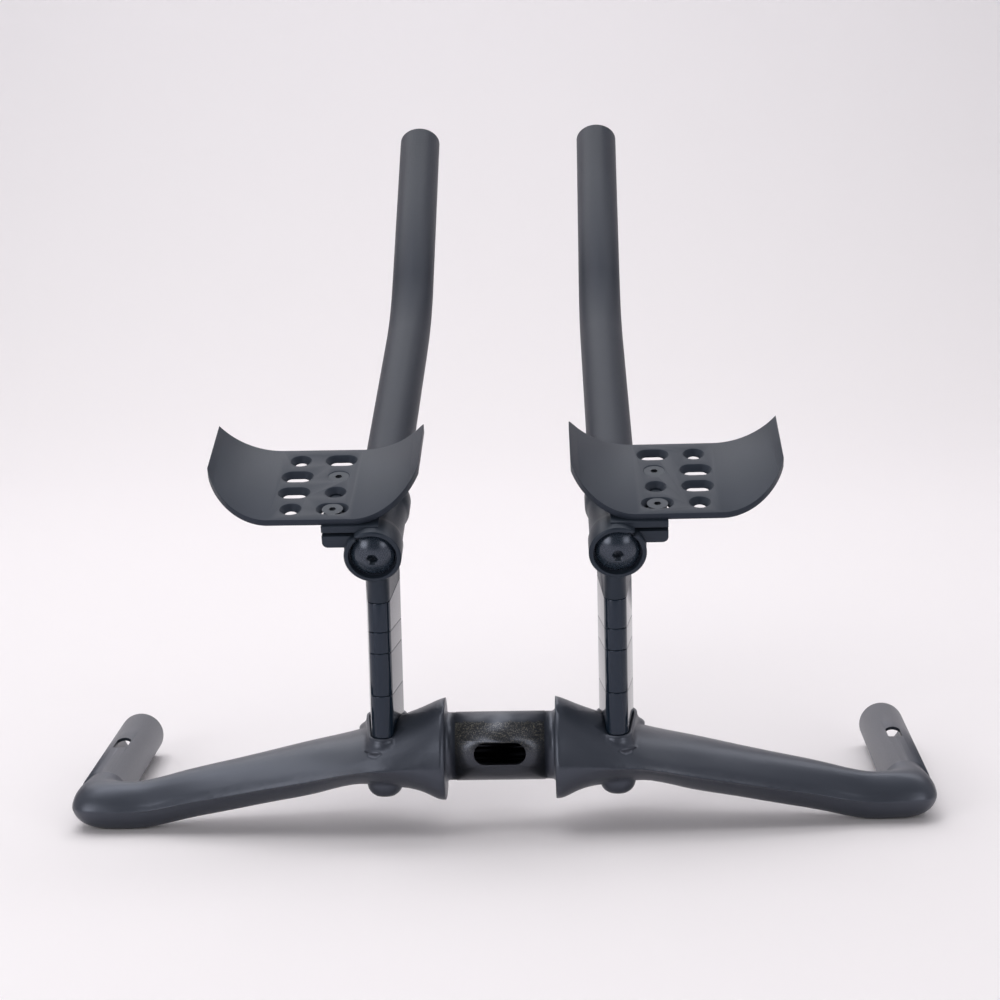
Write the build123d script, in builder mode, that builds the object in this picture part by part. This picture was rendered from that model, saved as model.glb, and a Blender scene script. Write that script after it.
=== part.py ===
from build123d import *

import math
import os

# Stem clamp waist of the base bar, along X
WAIST_DIAMETER = 31.8
WAIST_GRIP_LENGTH = 41.0
WAIST_RELIEF = 0.2
WAIST_WALL = 2.7
WAIST_ROOT_FILLET = 2.0
CABLE_SLOT_LENGTH = 24.0
CABLE_SLOT_HEIGHT = 10.5

# Collars and wings of the base bar, right hand side
COLLAR_FACE_X = 25.5
COLLAR_RADIUS = 23.4
COLLAR_DROP = 0.8
COLLAR_WALL = 3.0
COLLAR_TAIL_DROP = 5.5
ROOT_X = 43.0
ROOT_HALF_CHORD = 26.0
ROOT_FORWARD = 3.5
ROOT_HALF_HEIGHT = 17.0
ROOT_DROP = 2.6
WING_X = 64.0
WING_HALF_CHORD = 27.5
WING_FORWARD = 5.5
WING_HALF_HEIGHT = 12.1
WING_DROP = 5.9
WING_TAIL_DROP = 0.3
WING_WALL = 2.6
ROUND_TAIL = 1.0
COLLAR_TAIL = 1.08
ROOT_TAIL = 1.5
WING_TAIL = 2.2
SECTION_POINTS = 24
CORNER_STEPS = 4

# Corners and horns of the base bar
HORN_X = 190.0
HORN_DROP = 26.4
HORN_DIAMETER = 22.2
HORN_BORE_DIAMETER = 19.2
HORN_TIP_Y = 128.0
HORN_TIP_CHAMFER = 0.6
CORNER_INNER_RADIUS = 8.0
CORNER_FADE = 67.5
ELBOW_DIAMETER = 15.0
HORN_HOLE_LENGTH = 18.0
HORN_HOLE_WIDTH = 7.0
HORN_HOLE_FROM_TIP = 57.0

# Riser section, a tapered oval with its wide end forward
RISER_X = 54.0
RISER_REAR_RADIUS = 5.3
RISER_FRONT_RADIUS = 8.0
RISER_REAR_Y = -6.7
RISER_FRONT_Y = 19.0
RISER_FOOT_Z = 7.0
SPACER_HEIGHTS = {"low": 20.0, "mid": 20.0, "thin": 10.0}
SPACER_EDGE = 0.45
WEDGE_REAR_HEIGHT = 13.5
WEDGE_ANGLE = 11.0

# Bosses of the base bar above and below each riser
BOSS_MARGIN = 1.6
BOSS_FLARE = 6.5
BOSS_FLARE_STEPS = 5
BOSS_FLARE_TURN = 16.0
BOSS_FLOOR = 4.0
BOSS_TILT = 6.0
POCKET_CLEARANCE = 0.15
LUMP_WIDTH = 16.6
LUMP_BOTTOM_Z = -22.5
LUMP_HEIGHT = 18.0
LUMP_EDGE = 6.5
POST_DIAMETER = 14.0

# Riser bolts, M5 socket heads fitted from below
BOLT_DIAMETER = 5.0
BOLT_HEAD_DIAMETER = 8.5
BOLT_HEAD_HEIGHT = 5.0
BOLT_SOCKET = 4.0
BOLT_SOCKET_DEPTH = 2.6
BOLT_REAR_Y = -3.0
BOLT_FRONT_Y = 18.0
BOLT_GRIP = 9.0
BOLT_END_GAP = 1.0
BOLT_HOLE_CLEARANCE = 0.2
BOLT_SEAT_DEPTH = 6.6
THREAD_CLEARANCE = 0.05
WASHER_DIAMETER = 9.2
WASHER_THICKNESS = 1.0
SEAT_CLEARANCE = 0.3
SLEEVE_DIAMETER = 8.0
BOND_GAP = 0.05

# Extension clamp, drawn on its rear face with local X outboard and local Y up
CLAMP_OFFSET_X = 1.5
CLAMP_OVERHANG = 4.5
CLAMP_RISE = 22.5
CLAMP_PITCH = 20.0
CLAMP_TOE_IN = 1.3
CLAMP_LENGTH = 52.0
RING_WALL = 2.0
RING_LENGTH = 12.0
BARREL_WALL = 1.3
FRONT_RING_WALL = 2.6
FRONT_RING_LENGTH = 9.0
RING_STEP = 4.0
EAR_REACH = 23.0
EAR_SETBACK = 4.5
EAR_BOTTOM = 2.8
EAR_CORNER = 2.6
EAR_ROOT = 4.0
SLIT_BOTTOM = 8.7
SLIT_WIDTH = 1.9
PLATFORM_TOP = 13.7
PLATFORM_INSET = 3.0
TUBE_CLEARANCE = 0.05
CLAMP_EDGE = 0.6

# Armrest plate, 3 mm sheet with curled sides
PLATE_THICKNESS = 3.0
PLATE_CENTRE = 28.2
PLATE_FLAT = 38.0
PLATE_CURL_RADIUS = 38.0
PLATE_HALF_WIDTH = 48.5
PLATE_CURL = 58.0
PLATE_REAR_HALF = 20.0
PLATE_REAR = 6.2
PLATE_LENGTH = 65.0
PLATE_END_EDGE = 41.0
PLATE_CORNER_BULGE = 6.2
PLATE_TIP_RADIUS = 2.0
HOLE_ROW_PITCH = 15.0
HOLE_COLUMN_PITCH = 19.2
HOLE_FIRST_ROW = 16.0
HOLE_ROW_COUNT = 4
HOLE_DIAMETER = 5.5
HOLE_SINK_DIAMETER = 10.2
HOLE_SLOT_SPREAD = 5.0
SINK_ANGLE = 90.0
ROUND_HOLES = {"inner": (1, 2), "outer": (0, 3)}
SLOT_HOLES = {"inner": (0, 3), "outer": (1, 2)}
SCREW_ROWS = {"rear": 0, "front": 2}

# Armrest screws, M5 countersunk
SCREW_DIAMETER = 5.0
SCREW_HEAD_DIAMETER = 9.6
SCREW_SOCKET = 3.0
SCREW_SOCKET_DEPTH = 1.8
SCREW_END_GAP = 0.6
SCREW_HEAD_SINK = 0.25

# Extension tube
TUBE_DIAMETER = 22.2
TUBE_BORE_DIAMETER = 19.0
TUBE_RECESS = 3.0
TUBE_REAR_RUN = 243.0
TUBE_FRONT_RUN = 150.0
TUBE_FRONT_PITCH = 36.6
TUBE_BEND_RADIUS = 185.0
TUBE_TIP_CHAMFER = 0.4

# Expander plug in the rear end of each extension
DOME_DIAMETER = 20.8
DOME_HEIGHT = 5.5
DOME_SOCKET = 5.0
DOME_SOCKET_DEPTH = 4.0
DOME_SHANK_DIAMETER = 6.0
DOME_SHANK_LENGTH = 22.0
PLUG_CLEARANCE = 0.1
PLUG_HOLE_CLEARANCE = 0.2
PLUG_SLEEVE_LENGTH = 14.0
PLUG_MOUTH_START = 5.0
PLUG_MOUTH_RADIUS = 3.6
PLUG_MOUTH_SLOPE = 0.45
PLUG_SLOT_WIDTH = 1.2
PLUG_CONE_START = 7.0
PLUG_CONE_LENGTH = 12.0

# Levels and places worked out from the sizes above
WAIST_RADIUS = WAIST_DIAMETER / 2
WAIST_BORE = WAIST_RADIUS - WAIST_WALL
HORN_RADIUS = HORN_DIAMETER / 2
HORN_BORE = HORN_BORE_DIAMETER / 2
TUBE_RADIUS = TUBE_DIAMETER / 2
TUBE_BORE = TUBE_BORE_DIAMETER / 2
CLAMP_BORE = TUBE_RADIUS + TUBE_CLEARANCE
RISER_REAR_NOSE = RISER_REAR_Y - RISER_REAR_RADIUS
WEDGE_BOTTOM_Z = RISER_FOOT_Z + sum(SPACER_HEIGHTS.values())
WEDGE_REAR_Z = WEDGE_BOTTOM_Z + WEDGE_REAR_HEIGHT
BOLT_HOLE = BOLT_DIAMETER / 2 + BOLT_HOLE_CLEARANCE
BOLT_SEAT_Z = LUMP_BOTTOM_Z + BOLT_SEAT_DEPTH
BOLT_PLACES = {"rear": BOLT_REAR_Y, "front": BOLT_FRONT_Y}
INNER_COLUMN = PLATE_CENTRE - HOLE_COLUMN_PITCH / 2
PLATE_TOP = PLATFORM_TOP + PLATE_THICKNESS
BOSS_FLOOR_Z = RISER_FOOT_Z - BOSS_FLOOR
RING_RADIUS = CLAMP_BORE + RING_WALL
BARREL_RADIUS = CLAMP_BORE + BARREL_WALL
FRONT_RING_RADIUS = CLAMP_BORE + FRONT_RING_WALL
PLUG_HOLE = DOME_SHANK_DIAMETER / 2 + PLUG_HOLE_CLEARANCE
PLUG_THREAD = DOME_SHANK_DIAMETER / 2 + THREAD_CLEARANCE
HOLE_COLUMNS = {"inner": INNER_COLUMN, "outer": INNER_COLUMN + HOLE_COLUMN_PITCH}
HOLE_ROWS = [HOLE_FIRST_ROW + row * HOLE_ROW_PITCH for row in range(HOLE_ROW_COUNT)]
SCREW_PLACES = {name: (INNER_COLUMN, HOLE_ROWS[row]) for name, row in SCREW_ROWS.items()}

# Frame of the right clamp: rear face plane, looking back along the tube axis
PITCH = math.radians(CLAMP_PITCH)
TOE_IN = math.radians(CLAMP_TOE_IN)
FRONT_PITCH = math.radians(TUBE_FRONT_PITCH)
TUBE_AXIS = Vector(-math.sin(TOE_IN) * math.cos(PITCH), math.cos(TOE_IN) * math.cos(PITCH), math.sin(PITCH))
FRONT_AXIS = Vector(0, math.cos(FRONT_PITCH), math.sin(FRONT_PITCH))
CLAMP_ORIGIN = Vector(RISER_X + CLAMP_OFFSET_X, RISER_REAR_NOSE - CLAMP_OVERHANG, WEDGE_REAR_Z + CLAMP_RISE)
CLAMP_FACE = Plane(
    origin=CLAMP_ORIGIN,
    x_dir=(math.cos(TOE_IN), math.sin(TOE_IN), 0),
    z_dir=TUBE_AXIS * -1,
)
CLAMP_MIDDLE = Plane(origin=CLAMP_ORIGIN, x_dir=CLAMP_FACE.x_dir, z_dir=CLAMP_FACE.y_dir)
CLAMP_SIDE = Plane(origin=CLAMP_ORIGIN, x_dir=TUBE_AXIS, z_dir=CLAMP_FACE.x_dir)
PLATE_PLANE = Plane(
    origin=CLAMP_ORIGIN + CLAMP_FACE.y_dir * PLATFORM_TOP,
    x_dir=CLAMP_FACE.x_dir,
    z_dir=CLAMP_FACE.y_dir,
)
CORNER_REACH = HORN_RADIUS + CORNER_INNER_RADIUS
CORNER_CENTRE = Vector(HORN_X - CORNER_REACH, CORNER_REACH, -HORN_DROP)
WING_END = Plane(origin=(HORN_X - CORNER_REACH, 0, -HORN_DROP), x_dir=(0, 1, 0), z_dir=(1, 0, 0))
HORN_START = Plane(origin=(HORN_X, CORNER_REACH, -HORN_DROP), x_dir=(-1, 0, 0), z_dir=(0, 1, 0))
# Stations of the bar: place, half chord, half height, tail power and tail drop
COLLAR_STATION = (
    COLLAR_FACE_X,
    0,
    -COLLAR_DROP,
    COLLAR_RADIUS,
    COLLAR_RADIUS,
    COLLAR_TAIL,
    COLLAR_TAIL_DROP,
)
ROOT_STATION = (
    ROOT_X,
    ROOT_FORWARD,
    -ROOT_DROP,
    ROOT_HALF_CHORD,
    ROOT_HALF_HEIGHT,
    ROOT_TAIL,
    COLLAR_TAIL_DROP / 2,
)
WING_STATION = (
    WING_X,
    WING_FORWARD,
    -WING_DROP,
    WING_HALF_CHORD,
    WING_HALF_HEIGHT,
    WING_TAIL,
    WING_TAIL_DROP,
)
END_STATION = (HORN_X - CORNER_REACH, 0, -HORN_DROP, HORN_RADIUS, HORN_RADIUS, WING_TAIL, WING_TAIL_DROP)

# Planes of the riser
SEAM_TILT = math.radians(WEDGE_ANGLE)
BOSS_SLOPE = math.radians(BOSS_TILT)
BOSS_TOP = Plane(
    origin=(0, 0, RISER_FOOT_Z - (RISER_REAR_NOSE - BOSS_MARGIN) * math.tan(BOSS_SLOPE)),
    x_dir=(1, 0, 0),
    z_dir=(0, -math.sin(BOSS_SLOPE), math.cos(BOSS_SLOPE)),
)
SEAM_PLANE = Plane(
    origin=(RISER_X, RISER_REAR_NOSE, WEDGE_REAR_Z),
    x_dir=(1, 0, 0),
    z_dir=(0, -math.sin(SEAM_TILT), math.cos(SEAM_TILT)),
)


def write_piece(piece, name):
    """Label a finished piece and write it under its own name."""
    piece.part.label = name
    export_step(piece.part, f"parts/{name}.step")


def write_pair(piece, name):
    """Write a right hand piece and its mirrored left hand twin."""
    write_piece(piece, f"right_{name}")
    with BuildPart() as twin:
        mirror(piece.part, about=Plane.YZ)
    write_piece(twin, f"left_{name}")


def bar_outline(plane, half_chord, half_height, tail_power, tail_drop):
    """One section of the bar: round nose towards local +X, a drawn out tail towards local -X."""
    points = []
    for step in range(SECTION_POINTS):
        angle = 2 * math.pi * step / SECTION_POINTS
        along = math.cos(angle)
        up = math.sin(angle)
        power = tail_power if along < 0 else ROUND_TAIL
        drop = tail_drop * along**2 if along < 0 else 0
        up = math.copysign(abs(up) ** power, up)
        points.append((half_chord * along, half_height * up - drop))
    with BuildSketch(plane) as outline:
        with BuildLine():
            Spline(*points, periodic=True)
        make_face()
    return outline.sketch


def wing_plane(x, y, z):
    """Section plane across the wing, local X forward and local Y up."""
    return Plane(origin=(x, y, z), x_dir=(0, 1, 0), z_dir=(1, 0, 0))


def corner_reach(turn):
    """Distance from the corner's inner centre to its outer side, turn in radians from the wing."""
    side = 2 * HORN_RADIUS + CORNER_INNER_RADIUS
    lean = min(turn, math.pi / 2 - turn)
    if side * math.tan(lean) <= side - HORN_RADIUS:
        return side / math.cos(lean)
    centre = side - HORN_RADIUS
    offset = centre * (math.cos(lean) - math.sin(lean))
    return centre * (math.cos(lean) + math.sin(lean)) + math.sqrt(HORN_RADIUS**2 - offset**2)


def corner_outline(turn):
    """Section of the corner on a plane through its inner centre."""
    half_width = (corner_reach(turn) - CORNER_INNER_RADIUS) / 2
    middle = CORNER_INNER_RADIUS + half_width
    plane = Plane(
        origin=CORNER_CENTRE + Vector(middle * math.sin(turn), -middle * math.cos(turn), 0),
        x_dir=(-math.sin(turn), math.cos(turn), 0),
        z_dir=(math.cos(turn), math.sin(turn), 0),
    )
    tail_power = WING_TAIL + (ROUND_TAIL - WING_TAIL) * min(1, turn / math.radians(CORNER_FADE))
    return bar_outline(plane, half_width, HORN_RADIUS, tail_power, 0)


def horn_outline():
    """Round section where the corner runs into the horn."""
    with BuildSketch(HORN_START) as outline:
        Circle(HORN_RADIUS)
    return outline.sketch


def between(first, last, share):
    """Station part of the way from one station to another."""
    return tuple(start + (end - start) * share for start, end in zip(first, last))


def station_outline(station, wall):
    """Section of the bar at a station, shrunk by a wall."""
    x, y, z, half_chord, half_height, tail_power, tail_drop = station
    return bar_outline(wing_plane(x, y, z), half_chord - wall, half_height - wall, tail_power, tail_drop)


def wing_outlines(wall):
    """Sections from halfway along the collar's flare to near the corner, shrunk by a wall."""
    stations = [
        between(COLLAR_STATION, ROOT_STATION, 0.5),
        ROOT_STATION,
        between(ROOT_STATION, WING_STATION, 0.5),
        WING_STATION,
    ]
    stations += [between(WING_STATION, END_STATION, share) for share in (0.2, 0.4, 0.6, 0.8)]
    return [station_outline(station, wall) for station in stations]


def riser_outline(plane, margin):
    """Tapered oval of the riser stack on a level plane, grown by a margin."""
    with BuildSketch(plane) as outline:
        with Locations((RISER_X, RISER_REAR_Y)):
            Circle(RISER_REAR_RADIUS + margin)
        with Locations((RISER_X, RISER_FRONT_Y)):
            Circle(RISER_FRONT_RADIUS + margin)
        make_hull()
    return outline.sketch


def bolt_circles(z, radius):
    """Circles at the two riser bolts on a level plane."""
    with BuildSketch(Plane.XY.offset(z)) as circles:
        with Locations(*[(RISER_X, y) for y in BOLT_PLACES.values()]):
            Circle(radius)
    return circles.sketch


def bolt_slot(z, width):
    """Round ended outline around both riser bolts on a level plane."""
    with BuildSketch(Plane.XY.offset(z)) as outline:
        with Locations((RISER_X, (BOLT_REAR_Y + BOLT_FRONT_Y) / 2)):
            SlotCenterToCenter(BOLT_FRONT_Y - BOLT_REAR_Y, width, rotation=90)
    return outline.sketch


def seam_height(y):
    """Height of the tilted seam between wedge and clamp at a place along Y."""
    return WEDGE_REAR_Z + (y - RISER_REAR_NOSE) * math.tan(SEAM_TILT)


def ear_point(u, w):
    """Point on the ear's rear plane from its local place."""
    return CLAMP_FACE.offset(-EAR_SETBACK).from_local_coords(Vector(u, w, 0))


def hole_places(rows):
    """Places of the plate holes listed row by row for each column."""
    return [(HOLE_COLUMNS[name], HOLE_ROWS[row]) for name in rows for row in rows[name]]


def mouth_radius(distance):
    """Radius of the expander's conical mouth at a distance from the sleeve's rear end."""
    return PLUG_MOUTH_RADIUS + (distance - PLUG_MOUTH_START) * PLUG_MOUTH_SLOPE


os.makedirs("parts", exist_ok=True)

# Right half of the bar: collar, wing, corner and horn, with a riser boss above and a bolt lump below
skin_outlines = [station_outline(COLLAR_STATION, 0)]
skin_outlines += wing_outlines(0)
skin_outlines += [corner_outline(math.pi / 2 * step / CORNER_STEPS) for step in range(CORNER_STEPS)]
skin_outlines.append(horn_outline())
hollow_outlines = [station_outline((COLLAR_FACE_X + COLLAR_WALL, *COLLAR_STATION[1:]), 2 * COLLAR_WALL)]
hollow_outlines += wing_outlines(WING_WALL)
hollow_outlines.append(station_outline(END_STATION, WING_WALL))
boss_outlines = []
for step in range(BOSS_FLARE_STEPS):
    flare_turn = math.radians(BOSS_FLARE_TURN * step)
    flare_plane = BOSS_TOP.offset(-BOSS_FLARE * math.sin(flare_turn))
    boss_outlines.append(riser_outline(flare_plane, BOSS_MARGIN + BOSS_FLARE * (1 - math.cos(flare_turn))))
floor_outline = riser_outline(Plane.XY.offset(BOSS_FLOOR_Z), BOSS_MARGIN)
pocket_outline = riser_outline(Plane.XY.offset(RISER_FOOT_Z), POCKET_CLEARANCE)
lump_outline = bolt_slot(LUMP_BOTTOM_Z, LUMP_WIDTH)
post_circles = bolt_circles(LUMP_BOTTOM_Z, POST_DIAMETER / 2)
sleeve_holes = bolt_circles(BOLT_SEAT_Z, SLEEVE_DIAMETER / 2 + BOND_GAP)
seat_holes = bolt_circles(BOLT_SEAT_Z, WASHER_DIAMETER / 2 + SEAT_CLEARANCE)

with BuildPart() as lump:
    extrude(lump_outline, amount=LUMP_HEIGHT)
    fillet(lump.faces().sort_by(Axis.Z)[0].edges(), LUMP_EDGE)

with BuildPart() as boss:
    loft(sections=boss_outlines)

with BuildPart() as hollow:
    loft(sections=hollow_outlines, ruled=True)
    with BuildSketch(WING_END):
        Circle(ELBOW_DIAMETER / 2)
    revolve(axis=Axis(CORNER_CENTRE, (0, 0, 1)), revolution_arc=90)
    with BuildSketch(HORN_START):
        Circle(HORN_BORE)
    extrude(amount=HORN_TIP_Y)
    extrude(post_circles, amount=2 * LUMP_HEIGHT, mode=Mode.SUBTRACT)
    extrude(floor_outline, amount=LUMP_HEIGHT, mode=Mode.SUBTRACT)

with BuildPart() as bar_half:
    loft(sections=skin_outlines)
    with BuildSketch(HORN_START):
        Circle(HORN_RADIUS)
    extrude(amount=HORN_TIP_Y - HORN_START.origin.Y)
    chamfer(bar_half.faces().sort_by(Axis.Y)[-1].edges(), HORN_TIP_CHAMFER)
    add(boss.part)
    add(lump.part)
    add(hollow.part, mode=Mode.SUBTRACT)
    with BuildSketch(Plane.XY.offset(-HORN_DROP)):
        with Locations((HORN_X, HORN_TIP_Y - HORN_HOLE_FROM_TIP)):
            SlotOverall(HORN_HOLE_LENGTH, HORN_HOLE_WIDTH, rotation=90)
    extrude(amount=HORN_DIAMETER, mode=Mode.SUBTRACT)
    extrude(pocket_outline, amount=LUMP_HEIGHT, mode=Mode.SUBTRACT)
    extrude(sleeve_holes, amount=2 * LUMP_HEIGHT, mode=Mode.SUBTRACT)
    extrude(seat_holes, amount=-LUMP_HEIGHT, mode=Mode.SUBTRACT)

# Base bar: both halves on the stem clamp waist, with the cable slot in its rear
with BuildPart() as base_bar:
    add(bar_half.part)
    mirror(bar_half.part, about=Plane.YZ)
    with BuildSketch(Plane.XY):
        with BuildLine():
            relief = WAIST_RADIUS - WAIST_RELIEF
            flare_x = COLLAR_FACE_X - WAIST_ROOT_FILLET
            flare_y = relief + WAIST_ROOT_FILLET
            sunk_x = COLLAR_FACE_X + COLLAR_WALL / 2
            Polyline((-COLLAR_FACE_X, flare_y), (-sunk_x, flare_y), (-sunk_x, 0), (sunk_x, 0))
            Polyline((sunk_x, 0), (sunk_x, flare_y), (COLLAR_FACE_X, flare_y))
            CenterArc((flare_x, flare_y), WAIST_ROOT_FILLET, 0, -90)
            Line((flare_x, relief), (-flare_x, relief))
            CenterArc((-flare_x, flare_y), WAIST_ROOT_FILLET, -90, -90)
        make_face()
    revolve(axis=Axis.X)
    with BuildSketch(Plane(origin=(-WAIST_GRIP_LENGTH / 2, 0, 0), x_dir=(0, -1, 0), z_dir=(1, 0, 0))):
        Circle(WAIST_RADIUS)
    extrude(amount=WAIST_GRIP_LENGTH)
    with BuildSketch(Plane.YZ.offset(-COLLAR_FACE_X - 2 * COLLAR_WALL)):
        Circle(WAIST_BORE)
    extrude(amount=2 * COLLAR_FACE_X + 4 * COLLAR_WALL, mode=Mode.SUBTRACT)
    with BuildSketch(Plane.XZ):
        SlotOverall(CABLE_SLOT_LENGTH, CABLE_SLOT_HEIGHT)
    extrude(amount=WAIST_DIAMETER, mode=Mode.SUBTRACT)
write_piece(base_bar, "base_bar")

# Riser spacers, drilled for the two bolts
spacer_z = RISER_FOOT_Z
for spacer_name, spacer_height in SPACER_HEIGHTS.items():
    spacer_outline = riser_outline(Plane.XY.offset(spacer_z), 0)
    spacer_holes = bolt_circles(spacer_z, BOLT_HOLE)
    with BuildPart() as spacer:
        extrude(spacer_outline, amount=spacer_height)
        fillet(spacer.edges().filter_by(Plane.XY), SPACER_EDGE)
        extrude(spacer_holes, amount=spacer_height, mode=Mode.SUBTRACT)
    write_pair(spacer, f"riser_spacer_{spacer_name}")
    spacer_z += spacer_height

# Wedge that gives the clamp its nose-up tilt
wedge_outline = riser_outline(Plane.XY.offset(WEDGE_BOTTOM_Z), 0)
wedge_holes = bolt_circles(WEDGE_BOTTOM_Z, BOLT_HOLE)
with BuildPart() as wedge:
    extrude(wedge_outline, amount=2 * CLAMP_RISE)
    split(bisect_by=SEAM_PLANE, keep=Keep.BOTTOM)
    fillet(wedge.faces().filter_by(GeomType.PLANE).sort_by(Axis.Z)[0].edges(), SPACER_EDGE)
    fillet(wedge.faces().filter_by(GeomType.PLANE).sort_by(Axis.Z)[-1].edges(), SPACER_EDGE)
    extrude(wedge_holes, amount=2 * CLAMP_RISE, mode=Mode.SUBTRACT)
write_pair(wedge, "riser_wedge")

# Bonded sleeves, washers and riser bolts
for place_name, place_y in BOLT_PLACES.items():
    head_top_z = BOLT_SEAT_Z - WASHER_THICKNESS
    bolt_end_z = seam_height(place_y) + BOLT_GRIP
    with BuildPart() as sleeve:
        with BuildSketch(Plane.XY.offset(BOLT_SEAT_Z)):
            with Locations((RISER_X, place_y)):
                Circle(SLEEVE_DIAMETER / 2)
                Circle(BOLT_HOLE, mode=Mode.SUBTRACT)
        extrude(amount=RISER_FOOT_Z - BOLT_SEAT_Z)
    write_pair(sleeve, f"riser_sleeve_{place_name}")

    with BuildPart() as washer:
        with BuildSketch(Plane.XY.offset(head_top_z)):
            with Locations((RISER_X, place_y)):
                Circle(WASHER_DIAMETER / 2)
                Circle(BOLT_HOLE, mode=Mode.SUBTRACT)
        extrude(amount=WASHER_THICKNESS)
    write_pair(washer, f"riser_washer_{place_name}")

    with BuildPart() as bolt:
        with BuildSketch(Plane.XY.offset(head_top_z)):
            with Locations((RISER_X, place_y)):
                Circle(BOLT_HEAD_DIAMETER / 2)
        extrude(amount=-BOLT_HEAD_HEIGHT)
        chamfer(bolt.faces().sort_by(Axis.Z)[0].edges(), SPACER_EDGE)
        with BuildSketch(Plane.XY.offset(head_top_z)):
            with Locations((RISER_X, place_y)):
                Circle(BOLT_DIAMETER / 2)
        extrude(amount=bolt_end_z - head_top_z)
        chamfer(bolt.faces().sort_by(Axis.Z)[-1].edges(), SPACER_EDGE)
        with BuildSketch(Plane.XY.offset(head_top_z - BOLT_HEAD_HEIGHT)):
            with Locations((RISER_X, place_y)):
                RegularPolygon(BOLT_SOCKET / 2, 6, major_radius=False)
        extrude(amount=BOLT_SOCKET_DEPTH, mode=Mode.SUBTRACT)
    write_pair(bolt, f"riser_bolt_{place_name}")

# Extension clamp: waisted barrel on the riser neck, split ear and armrest platform outboard
neck_outline = riser_outline(Plane.XY.offset(WEDGE_BOTTOM_Z), 0)
with BuildPart() as neck:
    extrude(neck_outline, amount=3 * CLAMP_RISE)
    split(bisect_by=SEAM_PLANE, keep=Keep.TOP)
    split(bisect_by=CLAMP_MIDDLE, keep=Keep.BOTTOM)
    fillet(neck.faces().sort_by(Axis.Z)[0].edges(), SPACER_EDGE)
    for place_y in BOLT_PLACES.values():
        with BuildSketch(Plane.XY.offset(WEDGE_BOTTOM_Z)):
            with Locations((RISER_X, place_y)):
                Circle(BOLT_DIAMETER / 2 + THREAD_CLEARANCE)
        extrude(amount=seam_height(place_y) + BOLT_GRIP + BOLT_END_GAP - WEDGE_BOTTOM_Z, mode=Mode.SUBTRACT)

with BuildPart() as clamp:
    with BuildSketch(CLAMP_SIDE):
        with BuildLine():
            Polyline(
                (0, 0),
                (0, RING_RADIUS - CLAMP_EDGE),
                (CLAMP_EDGE, RING_RADIUS),
                (RING_LENGTH, RING_RADIUS),
                (RING_LENGTH + RING_STEP, BARREL_RADIUS),
                (CLAMP_LENGTH - FRONT_RING_LENGTH - RING_STEP, BARREL_RADIUS),
                (CLAMP_LENGTH - FRONT_RING_LENGTH, FRONT_RING_RADIUS),
                (CLAMP_LENGTH - CLAMP_EDGE, FRONT_RING_RADIUS),
                (CLAMP_LENGTH, FRONT_RING_RADIUS - CLAMP_EDGE),
                (CLAMP_LENGTH, 0),
                close=True,
            )
        make_face()
    revolve(axis=Axis(CLAMP_ORIGIN, TUBE_AXIS))
    with BuildSketch(CLAMP_FACE.offset(-EAR_SETBACK)) as ear:
        with BuildLine():
            Polyline(
                (-PLATFORM_INSET, 0),
                (-PLATFORM_INSET, PLATFORM_TOP),
                (EAR_REACH, PLATFORM_TOP),
                (EAR_REACH, EAR_BOTTOM),
                (RING_RADIUS, EAR_BOTTOM),
                (RING_RADIUS, EAR_BOTTOM - EAR_ROOT - EAR_CORNER),
                (0, EAR_BOTTOM - EAR_ROOT - EAR_CORNER),
                close=True,
            )
        make_face()
        fillet(ear.vertices().sort_by_distance(ear_point(EAR_REACH, EAR_BOTTOM))[0], EAR_CORNER)
        fillet(ear.vertices().sort_by_distance(ear_point(RING_RADIUS, EAR_BOTTOM))[0], EAR_ROOT)
    extrude(amount=EAR_SETBACK - CLAMP_LENGTH)
    add(neck.part)
    with BuildSketch(CLAMP_FACE.offset(CLAMP_EDGE)):
        Circle(CLAMP_BORE)
    extrude(amount=-CLAMP_LENGTH - 2 * CLAMP_EDGE, mode=Mode.SUBTRACT)
    with BuildSketch(CLAMP_FACE.offset(CLAMP_EDGE)):
        with Locations((0, SLIT_BOTTOM)):
            Rectangle(2 * EAR_REACH, SLIT_WIDTH, align=(Align.MIN, Align.MIN))
    extrude(amount=-CLAMP_LENGTH - 2 * CLAMP_EDGE, mode=Mode.SUBTRACT)
    with BuildSketch(PLATE_PLANE):
        with Locations(*SCREW_PLACES.values()):
            Circle(HOLE_DIAMETER / 2)
    extrude(amount=SLIT_BOTTOM - PLATFORM_TOP, mode=Mode.SUBTRACT)
    with BuildSketch(PLATE_PLANE):
        with Locations(*SCREW_PLACES.values()):
            Circle(SCREW_DIAMETER / 2 + THREAD_CLEARANCE)
    extrude(amount=-PLATFORM_TOP, mode=Mode.SUBTRACT)
write_pair(clamp, "extension_clamp")

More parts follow.
